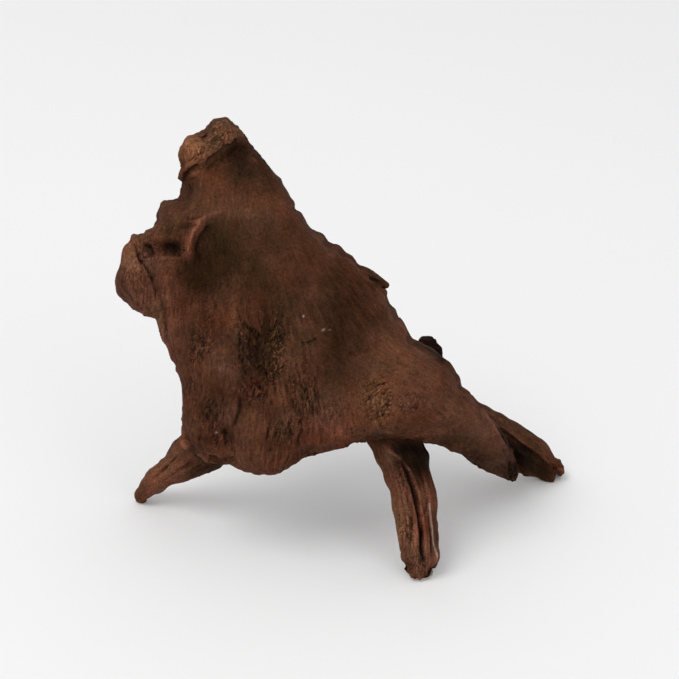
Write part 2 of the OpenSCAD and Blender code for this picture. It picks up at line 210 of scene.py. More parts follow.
# Bites out of the outline and knobs on it: across, up, reach, height. They go all the way round.
EDGES = [
    (-60, 112, 4, -0.5), (-66, 106.5, 3, -1.8), (-69.5, 103, 4, -4.6), (-76, 101, 3, 0.7),
    (-52, 108, 4, -0.6), (-80, 96, 3, -0.2), (-80, 87, 4, -3.8), (-81, 80.5, 1.2, 0.8),
    (-77, 77.5, 2.6, 1.4), (-80, 72.5, 3, -3.2), (-83.5, 71.5, 3, -1.8), (-89, 69, 2.5, 2.4),
    (-91, 64, 2.4, -0.2), (-92, 60, 2.4, -3.8), (-95, 57, 2.4, -2.6), (-97, 54.5, 2, 0.6),
    (-103.5, 52, 1.8, 1.2), (-107, 45, 4, 0.9), (-111, 30, 6, 1.0), (-107, 18, 4, -1.8),
    (-101, 14, 3, -1.4), (-96, 12.5, 2.5, -0.2), (-91, 9.5, 2.4, 0.8), (-86, -4, 4, -1.0),
    (-82, -11, 3, -1.0), (-80.5, -15, 1.4, 0.8), (-79, -22, 4, -0.6), (-78.5, -40, 5, 1.2),
    (-30, 80, 2.2, 0.8), (-24, 71, 2, -0.4), (-22, 65.5, 2, -2.4), (-13, 57, 5, -2.2),
    (-4, 49, 5, -3.4), (3, 44, 3.5, -3.0), (10, 39.5, 4, -1.8), (22, 31, 4, -0.6), (26, 18, 2, -1.0),
    (28.5, 11, 2.5, -2.4), (36, 0, 3, -2.6), (44, 1, 5, -1.5), (51, -5, 2, 1.4), (62.5, -23, 3, -2.2),
    (55, -12, 4, 1.4), (70, -31, 4, -1.6), (76, -35, 4, -0.8), (102, -50, 5, 1.8), (108, -58, 4, -1.8),
    (-55, -61, 3.5, -1.6), (-40, -68, 5, 1.8), (-47, -67, 3, 1.0), (-31, -66.5, 3, -0.4),
    (43, -51.5, 2, 1.0), (52, -54, 5, -2.0), (60, -60, 5, -1.8), (68, -64, 4, -0.8),
    (90.5, -67, 1.6, -1.2), (98, -71, 4, -1.8), (109, -68.5, 1.4, -3.0), (112, -64, 3, 0.4),
    (107, -71.5, 1.8, 3.0), (88, -71, 2.0, 1.4), (22.5, 25.5, 2.6, 2.2), (22, 23, 1.6, 1.4),
    (24.5, 26.6, 0.8, -1.2), (16, -57, 5, -1.8), (22, -65, 5, -2.4), (26, -76, 5, -1.2),
    (31, -104, 4, -0.3), (33, -114, 3, -2.8), (44, -58, 4, 2.0), (50, -88, 8, -1.2),
    (48, -118, 4, -5.0), (38.5, -119.5, 3, 0.2), (49.5, -108, 3, 0.8), (-82, -53, 5, 2.2),
    (-94, -67, 6, 0.9), (-102, -78, 3, 1.0), (-92, -78.5, 3, -1.0), (-99, -80, 3, 1.2),
    (-60, -64.5, 3, 1.0), (-84, -74, 4, -1.2),
]
# Places drawn straight up on the face, with all that lies behind them: across, up, reach across,
# reach up, turn, rise
LIFTED = [
    (-19, -62, 6, 5.5, 12, 4.0), (-8, -60, 8, 5.5, 5, 3.6), (6, -55, 7, 5, 25, 2.2),
]
# Smooth patches: how smooth, across, up, reach across, reach up, any turn
CALM = [
    (1.0, -34, 56, 38, 44), (0.9, 34, -20, 36, 26, -35), (0.9, 68, -46, 18, 10, -38),
    (0.85, -101, 30, 13, 20), (0.7, -88, -66, 18, 10, 42), (0.6, -66, -6, 16, 26),
    (0.7, 2, -20, 18, 26), (0.6, -44, -44, 10, 12), (0.35, -72, 96, 12, 10, 20),
    (0.7, 10, -52, 30, 6, 10), (0.5, 20, -33, 9, 12), (0.6, 28, 8, 10, 16, 30), (0.5, -88, 10, 6, 30),
    (0.7, -84, 66, 12, 8), (0.5, 98, -52, 12, 6, -35),
]
# Patches with wrinkled or cracked bark: across, up, reach across, reach up, turn, strength,
# the wrinkles' lean from upright, their spacing and their length
BARK = [
    (-32, -4, 6, 19, -8, 1.3, 35, 1.3, 5), (-45, -1, 6, 16, 0, 1.2, 4, 1.2, 7),
    (-44, -26, 9, 5, 0, 1.0, 20, 1.3, 3.5), (-36, -16, 6, 8, 0, 1.0, -12, 1.3, 5),
    (-69, -2, 6, 14, -20, 0.9, 32, 1.8, 4), (-66, -37, 5, 10, 25, 0.8, 14, 1.5, 5),
    (-74, -22, 5, 12, 0, 0.6, 10, 2.0, 5), (-61, -50, 8, 5, 0, 0.6, 10, 1.5, 5),
    (-18, -30, 9, 16, 0, 0.8, -4, 1.7, 7), (-26, -47, 9, 8, 0, 0.7, 6, 1.3, 5),
    (-3, -38, 12, 9, 0, 0.5, 18, 2.2, 9), (19, -32, 8, 12, 0, 0.9, 52, 1.5, 5),
    (36, -32, 8, 6, 0, 0.7, 60, 1.5, 4), (68, -58, 10, 6, -30, 0.6, 55, 1.8, 3),
    (86, -66, 5, 5, 0, 1.0, 20, 1.6, 3), (110, -65, 4, 4, 0, 0.8, 40, 1.2, 6),
    (31, -68, 5, 9, 12, 0.7, 10, 1.3, 3), (33, -95, 4, 10, 8, 0.7, 6, 1.3, 3),
    (38, -113, 6, 5, 0, 0.9, 10, 1.8, 3.5), (-100, 30, 10, 16, 8, 0.6, -8, 1.3, 7),
    (-97, 45, 7, 6, 0, 0.7, 30, 1.8, 4), (-80, 45, 9, 5, 0, 0.6, 60, 1.8, 4),
    (-66, 96, 12, 4, 28, 0.6, 20, 1.8, 3), (-60, 103, 8, 4, 30, 0.8, 66, 1.4, 4),
    (-76, 94, 4, 6, 0, 0.6, 20, 1.5, 4), (-88, 8, 3, 18, 0, 0.6, 0, 1.6, 4),
    (-58, 30, 5, 4, 0, 0.4, 50, 1.8, 3), (-86, -66, 12, 7, 42, 0.3, -52, 1.5, 8),
]

# ---------------------------------------------------------------- paint
# Colours as 0 to 255 in the display's own scale
# The two near-black colours are laid as painted shade in hollows, grooves and under overhangs; the lighter
# of them also as dark paint.
PAINTS = {
    "brown": (80, 51, 37), "umber": (47, 29, 16), "dark_paint_and_shade": (27, 18, 12), "russet": (92, 54, 39),
    "red": (90, 44, 33), "rose": (118, 76, 62), "clay": (112, 77, 59), "ochre": (108, 70, 43),
    "sand": (146, 104, 78), "shade_black": (13, 9, 6), "olive": (58, 42, 25), "tan": (100, 65, 47),
    "violet": (46, 32, 31), "chalk": (196, 178, 164),
}
# The thin dark glaze over all of the paint, as shares of red, green and blue let through
GLAZE = np.array([0.84, 0.775, 0.70])
# Patches of paint, and of painted shade and light, on the face: across, up, reach across, reach up, colour,
# strength, any turn
STAINS = [
    (-66, 98, 20, 9, "clay", 0.9, 25), (-72, 92, 10, 8, "tan", 0.6), (-62, 106, 8, 5, "tan", 0.5, 40),
    # Below the crown's lip, (-56, 95) is stain and painted shade.
    (-56, 95, 10, 3.5, "dark_paint_and_shade", 0.55, 25), (-48, 90, 7, 16, "umber", 0.6, 5),
    # (-76, 77) here and (-75, 84) below are painted shade in the cleft at the crown's left end.
    (-44, 98, 8, 5, "umber", 0.4, -50), (-76, 77, 5, 7, "umber", 0.7),
    (-75, 84, 5, 3, "violet", 0.6, 45), (-62, 74, 14, 10, "tan", 0.45), (-84, 66, 9, 5, "brown", 0.5),
    (-80, 60, 8, 4, "tan", 0.4), (-73, 52, 3, 9, "rose", 0.9, -15), (-96, 54, 8, 3, "clay", 0.5, 20),
    (-63, 42, 13, 19, "umber", 1.0), (-75, 32, 9, 11, "umber", 0.9), (-52, 44, 9, 14, "olive", 0.5),
    # (-85, 45.5) and (-80, 46.5) are painted shade in the knot hole under the ledge.
    (-85, 45.5, 8, 3.6, "dark_paint_and_shade", 1.0), (-80, 46.5, 3, 2.5, "dark_paint_and_shade", 0.9), (-98, 44, 4, 4, "olive", 0.6),
    (-102, 34, 11, 18, "rose", 0.8, 8), (-94, 22, 8, 10, "rose", 0.6), (-90, 38, 8, 5, "tan", 0.4),
    (-92, 30, 2, 12, "dark_paint_and_shade", 0.35, 14), (-86, 0, 5, 24, "rose", 0.6, -8), (-72, 2, 5, 12, "umber", 0.8),
    (-64, 2, 9, 14, "russet", 0.5), (-82, -8, 5, 16, "red", 0.35, -8), (-66, -46, 9, 6, "red", 0.3),
    (-50, 24, 14, 8, "brown", 0.4), (-43, 2, 8, 16, "umber", 1.0), (-31, -2, 7, 16, "olive", 0.9, -6),
    (-42, -26, 10, 5, "red", 0.45), (-58, -28, 6, 9, "umber", 0.6), (-67, -39, 6, 8, "umber", 0.6, 20),
    (-58, -48, 5, 7, "dark_paint_and_shade", 0.6), (-45, -45, 8, 12, "russet", 0.7), (-38, -60, 9, 6, "russet", 0.6),
    (-48, -58, 8, 5, "tan", 0.4), (-28, -49, 9, 8, "umber", 0.45), (-17, -44, 7, 9, "red", 0.4),
    (-24, 45, 14, 18, "russet", 0.3), (-14, 62, 16, 8, "brown", 0.4, -45), (0, 4, 9, 17, "umber", 0.9),
    (-32, 20, 12, 9, "olive", 0.5), (0, 28, 14, 10, "umber", 0.6, -20),
    (10, 14, 9, 9, "umber", 0.5, -30), (-18, 2, 7, 5, "olive", 0.4), (30, -8, 16, 12, "tan", 0.6, -20),
    (22, -30, 10, 12, "ochre", 0.9), (12, -42, 10, 5, "tan", 0.4), (36, -27, 8, 8, "russet", 0.7),
    (48, -14, 8, 8, "tan", 0.4), (-2, -38, 11, 10, "rose", 0.6), (8, -52, 14, 4, "red", 0.4, 15),
    (44, -42, 14, 8, "russet", 0.5), (66, -42, 11, 7, "tan", 0.8, -35),
    (66, -57, 12, 5, "umber", 0.4, -35), (82, -50, 5, 7, "rose", 0.6, 30), (86, -66, 6, 5, "dark_paint_and_shade", 0.7),
    # (86, -66) above, and (93, -60) and (100, -66) here, are painted shade in the groove between the right
    # arm's lobes and the hollow below it.
    (93, -60, 9, 5, "dark_paint_and_shade", 0.95, -30), (100, -66, 8, 4, "olive", 0.8, -20),
    (88, -44, 16, 4, "olive", 0.5, -32), (108, -63, 5, 5, "red", 0.6, -40),
    # (33, -56) here and (41, -59) below are painted shadow on the centre root's top under the arm.
    (21, 27, 4, 3, "umber", 0.8, -30), (33, -56, 13, 4.5, "dark_paint_and_shade", 1.0, -10),
    (41, -59, 7, 8, "dark_paint_and_shade", 0.9), (44, -70, 4, 10, "umber", 0.5, 10), (28, -72, 6, 10, "rose", 0.8, 12),
    (32, -92, 5, 14, "rose", 0.8, 5), (38, -98, 6, 14, "rose", 0.5), (43, -98, 4, 14, "red", 0.5),
    # (-66, -64) is painted shadow on the left root's top under the body's edge.
    (38, -113, 5, 4, "red", 0.4), (-66, -64, 9, 4, "umber", 0.9, 25),
    (-90, -67, 14, 9, "rose", 0.8, 42), (-76, -58, 7, 5, "russet", 0.5, 42),
    (-70, -14, 9, 10, "tan", 0.6), (-24, -14, 9, 9, "tan", 0.6), (-72, 84, 6, 10, "tan", 0.5),
    # (-60, 90) is stain and painted shade below the crown's lip.
    (-104, 44, 4, 6, "clay", 0.8), (0, -30, 8, 6, "tan", 0.4), (-60, 90, 8, 6, "umber", 0.5, 20),
    (-44, 12, 7, 7, "umber", 0.8), (50, -9, 5, 4, "umber", 0.7, -50),
    (-30, -3, 6, 13, "clay", 0.55, -6), (-52, 30, 7, 14, "tan", 0.5), (-74, 0, 6, 10, "tan", 0.4),
    (-50, 2, 3, 8, "clay", 0.4), (20, -31, 8, 9, "sand", 0.45), (-58, 101, 10, 6, "sand", 0.6, 30),
    (-62, 88, 7, 3.5, "clay", 0.5, 10), (40, -109, 6, 7, "sand", 0.5), (29, -90, 4, 9, "sand", 0.5, 8),
    (22, -59, 3, 5, "sand", 0.4, 20), (42.5, -81, 3, 6, "sand", 0.4), (-22, 2, 5, 5, "clay", 0.4),
    (-26, -42, 8, 8, "clay", 0.4), (-102, 40, 5, 5, "sand", 0.5), (-88, 4, 4, 8, "rose", 0.6),
    (-40, 22, 7, 6, "brown", 0.4), (-50, -60, 6, 4, "clay", 0.5), (-88, -66, 12, 7, "sand", 0.3, 42),
    (39, -110, 5, 6, "sand", 0.4), (41, -81, 3, 7, "sand", 0.4), (30, -90, 4, 7, "sand", 0.4),
    # (20, -50) is painted shadow under the arm.
    (-101, 40, 5, 5, "sand", 0.4), (-90, 8, 4, 10, "sand", 0.35), (20, -50, 5, 2.5, "umber", 0.5),
    (-66, -50, 8, 4, "umber", 0.45), (-47, -40, 6, 6, "umber", 0.35), (0, -12, 6, 7, "umber", 0.4),
    (-48, 59, 9, 4, "umber", 0.5), (-61, 40, 6, 8, "dark_paint_and_shade", 0.5), (-45, 19, 9, 5, "tan", 0.4),
    (-30, 40, 6, 6, "umber", 0.4), (-20, 29, 6, 6, "umber", 0.4), (36, -47, 10, 3, "tan", 0.4),
    (-99, -77, 4, 4, "brown", 0.5), (-58, 40, 5, 8, "dark_paint_and_shade", 0.5), (-20, 30, 6, 8, "umber", 0.4),
    (-30, 42, 6, 8, "umber", 0.3), (-80, 18, 6, 6, "umber", 0.4), (-68, 28, 6, 6, "umber", 0.4),
    (-50, -40, 5, 6, "russet", 0.6), (-50, -12, 4, 8, "umber", 0.4), (-70, -52, 6, 4, "umber", 0.5),
    (10, -4, 5, 8, "umber", 0.4), (-20, 60, 9, 5, "brown", 0.5, -40), (-40, 52, 8, 5, "umber", 0.3),
    # (33, -60) and (40, -62) are painted shadow on the centre root's top under the arm.
    (33, -60, 7, 5, "shade_black", 0.6, -10), (40, -62, 5, 5, "shade_black", 0.5),
    (80, -48, 3, 5, "umber", 0.7, 30), (46, -108, 4, 8, "rose", 0.7), (-64, 92, 6, 3, "clay", 0.5),
    (-50, 96, 5, 3, "umber", 0.4), (-78, -50, 4, 3, "russet", 0.5), (41, -82, 3, 6, "clay", 0.5),
    # (-75, 97) and (-73, 90) are painted light on the crown's left lobe.
    (-75, 97, 7, 9, "sand", 0.75), (-73, 90, 5, 6, "sand", 0.5), (36, -60, 9, 5, "shade_black", 0.9, -10),
    # (36, -60) above and (35, -54.5) here are painted shadow on the centre root's top under the arm.
    (35, -54.5, 9, 3, "shade_black", 0.7, -8), (-101, 42, 6, 8, "sand", 0.4), (-45, 30, 8, 9, "olive", 0.4),
    (-50, 60, 8, 3, "umber", 0.4), (-90, 20, 5, 6, "sand", 0.3), (-60, 40, 6, 10, "umber", 0.6),
    # (-84, 46) is painted shade in the knot hole; (-52, 92) is stain and painted shade below the crown's
    # lip.
    (-70, 30, 6, 6, "umber", 0.6), (-84, 46, 6, 2.4, "shade_black", 0.9), (-52, 92, 6, 4, "dark_paint_and_shade", 0.7, 35),
    (-40, 10, 6, 8, "dark_paint_and_shade", 0.4), (-40, 0, 5, 10, "dark_paint_and_shade", 0.4), (20, -60, 4, 5, "clay", 0.6, 20),
    (34, -92, 4, 10, "sand", 0.4, 8), (44, -80, 4, 8, "rose", 0.5), (-48, -38, 4, 7, "umber", 0.6),
    (0, -42, 8, 5, "rose", 0.5), (-58, 66, 17, 7, "clay", 0.9, -5), (-40, 66, 14, 8, "tan", 0.6, -10),
    (-74, 70, 8, 5, "brown", 0.5), (-62, 82, 9, 8, "tan", 0.5), (-50, 84, 6, 9, "umber", 0.5),
    (-64, 44, 11, 16, "olive", 0.8), (-68, 36, 8, 12, "umber", 0.6), (-40, 34, 10, 14, "olive", 0.5),
    (-100, 42, 7, 6, "rose", 0.7), (-92, 34, 5, 8, "rose", 0.5), (-24, 40, 12, 14, "tan", 0.4),
    (-50, 12, 9, 7, "tan", 0.5), (-40, 8, 7, 12, "umber", 0.7), (-32, 2, 7, 14, "olive", 0.5),
    (-60, -12, 9, 9, "rose", 0.5), (-58, -20, 7, 5, "tan", 0.6), (-28, -28, 10, 8, "clay", 0.5),
    (-56, -38, 7, 6, "rose", 0.5), (-72, -40, 4, 8, "tan", 0.5), (-44, -42, 8, 8, "clay", 0.7),
    (-10, -30, 10, 8, "tan", 0.6), (34, -28, 12, 8, "rose", 0.6), (52, -30, 12, 7, "tan", 0.6, -30),
    (20, -12, 12, 8, "clay", 0.5), (34, -10, 12, 8, "clay", 0.5, -35), (20, 24, 5, 5, "tan", 0.4),
    (24, 14, 4, 8, "tan", 0.4, 30), (12, 0, 5, 9, "umber", 0.5), (70, -42, 8, 6, "rose", 0.5, -35),
    # (28, -48) is painted shadow under the arm; (99, -65) is painted shade in the groove between the arm's
    # lobes.
    (28, -48, 11, 2.5, "umber", 0.45), (99, -65, 9, 3.5, "dark_paint_and_shade", 0.6, -28),
    # (34, -61) and (40, -62) are painted shadow on the centre root's top under the arm.
    (34, -61, 6, 5, "umber", 0.7), (40, -62, 6, 6, "dark_paint_and_shade", 0.6), (24, -58, 4, 6, "clay", 0.6),
    (41, -84, 5, 8, "rose", 0.6), (30, -88, 5, 10, "clay", 0.5), (38, -112, 7, 6, "rose", 0.7),
    # (91, -57) and (101, -65) are painted shade in the groove between the arm's lobes and the hollow below
    # it.
    (91, -57, 8, 4, "dark_paint_and_shade", 0.9, -45), (101, -65, 7, 3.5, "umber", 0.8, -25),
]
# Thin lines of paint, and of painted shade and highlight: width, colour, strength, the line's places
# The dark lines in carved grooves and clefts and under overhangs are painted shade there.
PAINTED_LINES = [
    (0.5, "rose", 0.6, ((-59.5, -49), (-58, -53.5))),
    (0.6, "rose", 0.7, ((31, -61), (35, -65), (37.5, -72), (39.5, -80), (41, -90))),
    (0.7, "rose", 0.6, ((22, -51), (26, -55.5), (30, -59.5))),
    (0.8, "rose", 0.5, ((-76, -50.5), (-72, -56), (-66, -58.6))),
    (2.6, "rose", 0.95, ((-76, 43.5), (-75.8, 48.5), (-73.5, 53.5), (-70.8, 57.5))),
    (1.4, "rose", 0.5, ((-70, 59.5), (-64, 62), (-57, 65))),
    (1.6, "clay", 0.5, ((-91, 40.5), (-84, 40), (-77, 41.5))),
    (1.2, "rose", 0.5, ((71, -36), (75, -42), (79, -48), (84, -55), (87, -60))),
    (1.6, "tan", 0.5, ((-68, 90), (-64, 94.5), (-59, 99), (-53, 102))),
    # The next two lines, along the crown's jagged lip, are a dark crack and a stained band, with painted
    # shade in both.
    (1.0, "dark_paint_and_shade", 0.8, ((-66, 90.5), (-63.5, 92.5), (-60.5, 95), (-58, 97.5), (-55, 98), (-52, 100))),
    (2.5, "umber", 0.7, ((-66, 87), (-60, 92), (-54, 95), (-49, 97))),
    (1.2, "dark_paint_and_shade", 0.8, ((-78.5, 79), (-75, 83.5), (-71, 87.5))),
    (0.8, "dark_paint_and_shade", 0.6, ((-79, 56), (-75, 56.3), (-72, 57.5))),
    (0.6, "umber", 0.5, ((-76, 60), (-72, 60.5), (-69, 61.3))),
    (0.7, "dark_paint_and_shade", 0.6, ((-102.5, 47.5), (-101, 43.5), (-98.5, 39.5))),
    (0.7, "umber", 0.6, ((-98.5, 39.5), (-96, 35), (-93.5, 30), (-92.5, 24))),
    (0.8, "dark_paint_and_shade", 0.6, ((-98, 48.5), (-95.5, 46), (-94.5, 42))),
    (0.7, "umber", 0.4, ((-107, 36), (-108.5, 28), (-105, 20), (-99, 15))),
    (1.0, "umber", 0.6, ((-90.5, 26), (-89, 18), (-87.5, 8), (-85.5, 0))),
    # Painted shadow on the left root's top, under the body's edge.
    (1.2, "dark_paint_and_shade", 0.7, ((-74, -54), (-71, -58), (-66, -60.7), (-60, -62))),
    (0.9, "dark_paint_and_shade", 0.9, ((31, -61.5), (34, -67), (36.3, -73), (38.2, -80), (39.7, -88), (40.5, -97),
     (41.2, -106), (42, -111))),
    (0.8, "dark_paint_and_shade", 0.6, ((44, -80), (43.5, -85), (41, -88))),
    (1.4, "dark_paint_and_shade", 0.8, ((-50, -30), (-50.3, -36), (-52.5, -42))),
    # Painted shadow along the arm's underside.
    (0.9, "dark_paint_and_shade", 0.45, ((14, -49.2), (20, -48), (27, -48.8), (34, -50), (41, -51.5))),
    # Painted highlight along the lip's edge.
    (1.0, "rose", 0.35, ((2, -49), (10, -46.8), (18, -45.8), (26, -46.5))),
    # Painted shade in the groove between the arm's lobes.
    (2.2, "dark_paint_and_shade", 0.9, ((80.5, -46), (84, -52), (87.5, -57), (89.5, -62))),
    (1.2, "tan", 0.4, ((72, -34), (84, -41), (97, -49), (106, -58))),
    (1.3, "dark_paint_and_shade", 0.85, ((39, -1.5), (44, -4.5), (48, -7.5), (51, -11))),
]
# Chalky specks and scratches, laid over everything else, in the same terms
CHALK_LINES = [
    (0.28, "chalk", 0.5, ((45.2, -82), (46.2, -90), (46.9, -100), (47.7, -107), (48.4, -111))),
    (0.35, "chalk", 0.7, ((-62.2, -46.8), (-61.9, -47.2))),
    (0.35, "chalk", 0.6, ((-18.1, 11.4), (-18, 11.9))),
    (0.5, "chalk", 0.35, ((-8.4, 4.6), (-7.8, 4.9))),
    (0.35, "chalk", 0.25, ((-4.9, 4.6), (-4.6, 4.8))),
]


# ---------------------------------------------------------------- noise
def smooth_step(x, low, high):
    t = np.clip((x - low) / (high - low), 0, 1)
    return t * t * (3 - 2 * t)


def hashed(cell, seed):
    """A number from 0 to 1 for each whole-number cell."""
    h = cell[:, 0] * 73856093 ^ cell[:, 1] * 19349663 ^ cell[:, 2] * 83492791
    h = (h ^ (seed * 40503 + 977)) & 0xFFFFFFFF
    h = ((h ^ (h >> 13)) * 1274126177) & 0xFFFFFFFF
    h = ((h ^ (h >> 16)) * 668265263) & 0xFFFFFFFF
    return ((h ^ (h >> 15)) & 0xFFFFFF) / float(0xFFFFFF)


def value_noise(points, seed):
    """Smooth noise from -1 to 1 with cells one unit wide."""
    cell = np.floor(points).astype(np.int64)
    part = points - cell
    part = part * part * (3 - 2 * part)
    total = np.zeros(len(points))
    for corner in range(8):
        step = np.array([corner & 1, corner >> 1 & 1, corner >> 2 & 1])
        weight = np.prod(np.where(step, part, 1 - part), axis=1)
        total += weight * hashed(cell + step, seed)
    return total * 2 - 1


def layered_noise(points, size, seed, layers=3):
    total = np.zeros(len(points))
    share = 1.0
    for layer in range(layers):
        total += share * value_noise(points / size * 2 ** layer + 17.3 * layer, seed + layer)
        share *= 0.5
    return total


def cell_gap(points, seed):
    """Distance to the nearest border of a pattern of cells about one unit wide."""
    base = np.floor(points).astype(np.int64)
    first = np.full(len(points), 9.0)
    second = np.full(len(points), 9.0)
    for step in np.ndindex(3, 3, 3):
        cell = base + np.array(step) - 1
        seat = cell + np.stack([hashed(cell, seed + i) for i in range(3)], axis=1)
        gap = np.linalg.norm(points - seat, axis=1)
        second = np.minimum(second, np.maximum(first, gap))
        first = np.minimum(first, gap)
    return second - first


# ---------------------------------------------------------------- places on the face
def on_face(points):
    """Where each point falls on the face, in mm across and up from the aim, as the eye sees it."""
    rel = points - EYE
    scale = DISTANCE / (rel @ FORWARD)
    return np.stack([(rel @ ACROSS) * scale, (rel @ UPWARD) * scale], axis=1)


def turned(spots, across, up, turn):
    c, s = math.cos(math.radians(turn)), math.sin(math.radians(turn))
    a, b = spots[:, 0] - across, spots[:, 1] - up
    return a * c + b * s, b * c - a * s


def blob(spots, across, up, reach_across, reach_up, turn=0):
    """1 at a place on the face, fading to 0 round it."""
    x, y = turned(spots, across, up, turn)
    return np.exp(-(x / reach_across) ** 2 - (y / reach_up) ** 2)


def line_distance(spots, line):
    """Distance from each spot to a bent line, how far along it (0 to 1), and on which side."""
    line = np.array(line, float)
    best = np.full(len(spots), 1e9)
    side = np.zeros(len(spots))
    along = np.zeros(len(spots))
    count = len(line) - 1
    for i in range(count):
        a, d = line[i], line[i + 1] - line[i]
        t = np.clip(((spots - a) @ d) / (d @ d), 0, 1)
        off = spots - (a + t[:, None] * d)
        gap = np.linalg.norm(off, axis=1)
        near = gap < best
        best = np.where(near, gap, best)
        along = np.where(near, (i + t) / count, along)
        side = np.where(near, np.sign(d[0] * off[:, 1] - d[1] * off[:, 0]), side)
    return best, along, side


# ---------------------------------------------------------------- the grain
class Grain:
    """The way the grain runs through the whole block, kept on a coarse grid."""

    PITCH = 4.0

    def __init__(self, low, high):
        self.low = low - 20
        self.count = np.ceil((high + 20 - self.low) / self.PITCH).astype(int) + 1
        grid = np.stack(np.meshgrid(*[np.arange(n) for n in self.count], indexing="ij"), axis=-1)
        points = grid.reshape(-1, 3) * self.PITCH + self.low
        total = np.zeros_like(points)
        for line in GRAIN_LINES:
            line = np.array(line, float)
            for a, b in zip(line[:-1], line[1:]):
                d = b - a
                t = np.clip(((points - a) @ d) / (d @ d), 0, 1)
                gap = np.sum((points - a - t[:, None] * d) ** 2, axis=1)
                total += (d / np.linalg.norm(d)) / (gap + 20)[:, None] ** 2
        total /= np.linalg.norm(total, axis=1)[:, None]
        wander = np.stack([layered_noise(points, 26, 40 + i, 2) for i in range(3)], axis=1)
        total += 0.32 * wander
        self.field = total / np.linalg.norm(total, axis=1)[:, None]

    def at(self, points):
        spot = np.clip((points - self.low) / self.PITCH, 0, self.count - 1.001)
        cell = spot.astype(int)
        part = spot - cell
        total = np.zeros_like(points)
        for corner in range(8):
            step = np.array([corner & 1, corner >> 1 & 1, corner >> 2 & 1])
            weight = np.prod(np.where(step, part, 1 - part), axis=1)
            index = np.ravel_multi_index((cell + step).T, self.count)
            total += weight[:, None] * self.field[index]
        return total / np.maximum(np.linalg.norm(total, axis=1), 1e-9)[:, None]

    def streaks(self, points, patterns, pace, steps):
        """Noise drawn out along the grain, with a spread of 1, for each (cell size, steps used, seed)."""
        totals = [value_noise(points / size, seed) for size, used, seed in patterns]
        for way in (-1, 1):
            walk = points.copy()
            for step in range(steps):
                walk += way * pace * self.at(walk)
                for total, (size, used, seed) in zip(totals, patterns):
                    if step < used:
                        total += (1 - (step + 1) / (used + 1)) * value_noise(walk / size, seed)
        return [(total - total.mean()) / total.std() for total in totals]


# ---------------------------------------------------------------- one skin over all castings
def node_mesh(name):
    mesh = nodes[name].data
    mesh.calc_loop_triangles()
    co = np.empty(len(mesh.vertices) * 3)
    mesh.vertices.foreach_get("co", co)
    tri = np.empty(len(mesh.loop_triangles) * 3, int)
    mesh.loop_triangles.foreach_get("vertices", tri)
    return co.reshape(-1, 3) / MM, tri.reshape(-1, 3)


def joined_skin():
    """The castings and their dowels as one voxel surface: points, faces with four corners."""
    verts, faces, start = [], [], 0
    for name in CASTINGS + DOWELS:
        points, tri = node_mesh(name)
        verts.append(points)
        faces.append(tri + start)
        start += len(points)
    mesh = bpy.data.meshes.new("driftwood_form")
    mesh.from_pydata(np.concatenate(verts).tolist(), [], np.concatenate(faces).tolist())
    form = bpy.data.objects.new("driftwood_form", mesh)
    bpy.context.scene.collection.objects.link(form)
    remesh = form.modifiers.new("voxels", "REMESH")
    remesh.mode = "VOXEL"
    remesh.voxel_size = VOXEL
    done = form.evaluated_get(bpy.context.evaluated_depsgraph_get()).to_mesh()
    co = np.empty(len(done.vertices) * 3)
    done.vertices.foreach_get("co", co)
    corners = np.empty(len(done.loops), int)
    done.loops.foreach_get("vertex_index", corners)
    assert len(corners) == 4 * len(done.polygons)
    form.to_mesh_clear()
    bpy.data.objects.remove(form)
    bpy.data.meshes.remove(mesh)
    return outer_shell(co.reshape(-1, 3), corners.reshape(-1, 4))


def outer_shell(points, quads):
    """Only the shell that the topmost point belongs to, without the closed gaps inside."""
    mark = np.arange(len(points))
    while True:
        low = mark[quads].min(axis=1)
        new = mark.copy()
        for corner in range(4):
            np.minimum.at(new, quads[:, corner], low)
        new = new[new]
        if np.array_equal(new, mark):
            break
        mark = new
    keep = mark == mark[np.argmax(points[:, 2])]
    number = np.cumsum(keep) - 1
    return points[keep], number[quads[keep[quads[:, 0]]]]


class Skin:
    """The carved surface: its points, its faces and what is worked out from them."""

    def __init__(self, points, quads):
        self.points = points
        self.quads = quads
        rim = np.concatenate([quads[:, [i, (i + 1) % 4]] for i in range(4)])
        self.edges = np.unique(np.sort(rim, axis=1), axis=0)
        self.degree = np.bincount(self.edges.ravel(), minlength=len(points))

    def spread(self, values):
        """The mean of each point's neighbours."""
        if values.ndim == 2:
            return np.stack([self.spread(v) for v in values.T], axis=1)
        a, b = self.edges.T
        count = len(values)
        return (np.bincount(a, values[b], count) + np.bincount(b, values[a], count)) / self.degree

    def smoothed(self, values, times, share=0.5):
        for _ in range(times):
            values = values + share * (self.spread(values) - values)
        return values

    def normals(self):
        p = self.points[self.quads]
        n = np.cross(p[:, 2] - p[:, 0], p[:, 3] - p[:, 1])
        total = np.zeros_like(self.points)
        for corner in range(4):
            for axis in range(3):
                total[:, axis] += np.bincount(self.quads[:, corner], n[:, axis], len(self.points))
        return total / np.maximum(np.linalg.norm(total, axis=1), 1e-9)[:, None]

    def push(self, height):
        self.points = self.points + self.normals() * height[:, None]

    def stand(self, times):
        """How far each point stands proud of its smoothed surroundings, in mm."""
        flat = self.smoothed(self.points, times)
        return np.einsum("ij,ij->i", self.points - flat, self.normals())

    def seen(self):
        """1 where the eye sees the surface, 0 where it is hidden, softened at the border."""
        tree = BVHTree.FromPolygons(self.points.tolist(), self.quads.tolist())
        normals = self.normals()
        shown = np.zeros(len(self.points))
        facing = normals @ -FORWARD > 0
        for i in np.nonzero(facing)[0]:
            start = Vector(self.points[i] + normals[i] * 0.8)
            hit = tree.ray_cast(start, Vector(EYE) - start)
            shown[i] = hit[0] is None
        return self.smoothed(shown, 4)


